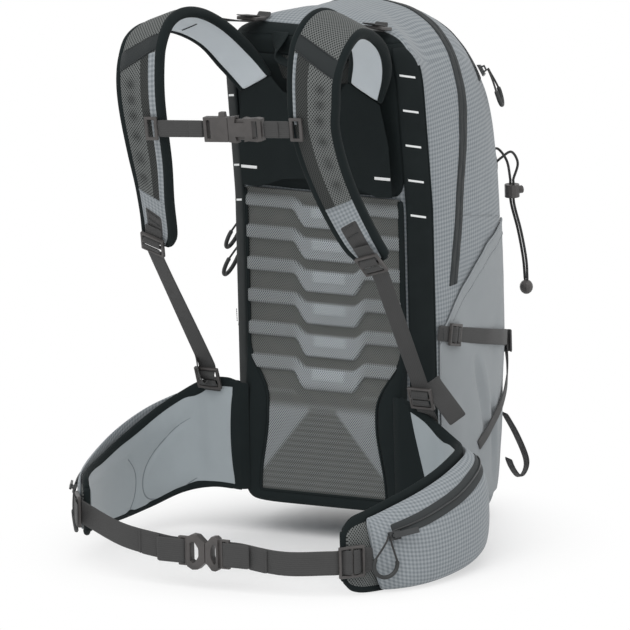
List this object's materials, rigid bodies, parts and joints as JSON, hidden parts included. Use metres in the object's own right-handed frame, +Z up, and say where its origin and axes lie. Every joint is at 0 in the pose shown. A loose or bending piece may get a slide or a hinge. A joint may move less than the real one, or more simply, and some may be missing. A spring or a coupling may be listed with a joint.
{
  "type": "backpack",
  "caption": "Panel-loading daypack with a padded mesh back, sliding shoulder harness, sternum strap and hip belt with zipped pockets.",
  "frame": {"origin": "centre of the flat part of the base, on the ground", "axes": "+Z up, -Y towards the wearer's back and the harness, +Y towards the front flap, +X to the right of someone facing the harness"},
  "size_m": [0.4178, 0.5355, 0.5706],
  "materials": {
    "grid_fabric": "light grey ripstop with a fine darker grid",
    "plain_fabric": "plain grey stretch fabric",
    "dark_fabric": "black fabric and binding",
    "mesh": "grey open spacer mesh",
    "foam": "light grey foam faced with fabric",
    "webbing": "dark grey woven webbing",
    "acetal": "satin dark grey",
    "cord": "braided dark cord",
    "zip_tape": "coated dark zip tape",
    "sheet": "translucent white sheet",
    "alloy": "plain rod"
  },
  "bodies": {
    "bag": {"main_body": "grid_fabric", "frame_sheet": "sheet", "frame_stay": "alloy", "back_foam": "foam", "back_mesh": "mesh", "side_strip_left": "dark_fabric", "side_strip_right": "dark_fabric", "lumbar_border": "dark_fabric", "side_pocket_left": "plain_fabric", "side_pocket_right": "plain_fabric", "compression_strap_left": "webbing", "compression_strap_right": "webbing", "compression_lock_left": "acetal", "compression_lock_right": "acetal", "tool_loop": "webbing", "hip_wing_left": "dark_fabric", "hip_wing_right": "dark_fabric", "hip_pocket_left": "grid_fabric", "hip_pocket_right": "grid_fabric", "hip_lock_left": "acetal", "hip_lock_right": "acetal", "belt_web_left": "webbing", "hip_buckle_socket": "acetal", "anchor_lock_left": "acetal", "anchor_lock_right": "acetal", "lifter_lock_left": "acetal", "lifter_lock_right": "acetal"},
    "flap": {"front_flap": "grid_fabric", "front_pocket_zip": "zip_tape", "bungee_tab": "webbing", "bungee_cord": "cord", "cord_lock": "acetal", "cord_end": "acetal"},
    "front_zip": {"front_slider": "acetal", "front_pull": "cord"},
    "main_zip_upper": {"main_slider_upper": "acetal", "main_pull_upper": "cord"},
    "main_zip_lower": {"main_slider_lower": "acetal", "main_pull_lower": "cord"},
    "hip_zip_left": {"hip_slider_left": "acetal"},
    "hip_zip_right": {"hip_slider_right": "acetal"},
    "harness": {"harness_yoke": "dark_fabric", "shoulder_strap_left": "dark_fabric", "shoulder_strap_right": "dark_fabric", "strap_lock_left": "acetal", "strap_lock_right": "acetal", "load_lifter_left": "webbing", "load_lifter_right": "webbing", "lower_web_left": "webbing", "lower_web_right": "webbing"},
    "sternum": {"sternum_slider_left": "acetal", "sternum_slider_right": "acetal", "sternum_socket": "acetal", "sternum_web_right": "webbing"},
    "sternum_buckle": {"sternum_plug": "acetal", "sternum_web_left": "webbing"},
    "hip_buckle": {"hip_buckle_plug": "acetal", "belt_web_right": "webbing"},
    "handle": {"grab_handle": "webbing"},
    "lock_button": {"cord_lock_button": "acetal"}
  },
  "joints": [
    {"name": "flap_hinge", "type": "hinge", "parent": "bag", "child": "flap", "pos_m": [0, 0.076, 0.288], "axis": [-1, 0, 0], "range_deg": [0, 75], "deforming": ["bungee_cord", "cord_end"]},
    {"name": "front_zip_slide", "type": "slide", "parent": "flap", "child": "front_zip", "axis": [-0.5148, 0, 0.8573], "range_m": [0, 0.018]},
    {"name": "main_zip_slide_upper", "type": "slide", "parent": "bag", "child": "main_zip_upper", "axis": [0.007, 0.2008, 0.9796], "range_m": [0, 0.06]},
    {"name": "main_zip_slide_lower", "type": "slide", "parent": "bag", "child": "main_zip_lower", "axis": [0.0065, 0.2008, 0.9796], "range_m": [-0.018, 0.008]},
    {"name": "hip_zip_slide_left", "type": "slide", "parent": "bag", "child": "hip_zip_left", "axis": [-0.4809, 0.8759, 0.04], "range_m": [0, 0.02]},
    {"name": "hip_zip_slide_right", "type": "slide", "parent": "bag", "child": "hip_zip_right", "axis": [0.6625, 0.7353, 0.1427], "range_m": [0, 0.02]},
    {"name": "harness_slide", "type": "slide", "parent": "bag", "child": "harness", "axis": [0, -0.0995, 0.995], "range_m": [-0.036, 0.02], "deforming": ["load_lifter_left", "load_lifter_right", "lower_web_left", "lower_web_right"]},
    {"name": "sternum_slide", "type": "slide", "parent": "harness", "child": "sternum", "axis": [0, -0.158, 0.9874], "range_m": [-0.012, 0.015]},
    {"name": "sternum_release", "type": "slide", "parent": "sternum", "child": "sternum_buckle", "axis": [-0.9974, 0, -0.0721], "range_m": [0, 0.02], "deforming": ["sternum_web_left"]},
    {"name": "hip_release", "type": "slide", "parent": "bag", "child": "hip_buckle", "axis": [1, 0, 0], "range_m": [0, 0.02], "deforming": ["belt_web_right"]},
    {"name": "handle_swing", "type": "hinge", "parent": "bag", "child": "handle", "pos_m": [0, -0.17435, 0.515], "axis": [-1, 0, 0], "range_deg": [0, 60]},
    {"name": "cord_lock_press", "type": "slide", "parent": "flap", "child": "lock_button", "axis": [-0.4936, -0.8697, 0], "range_m": [0, 0.003], "stiffness_N_per_m": 120}
  ]
}
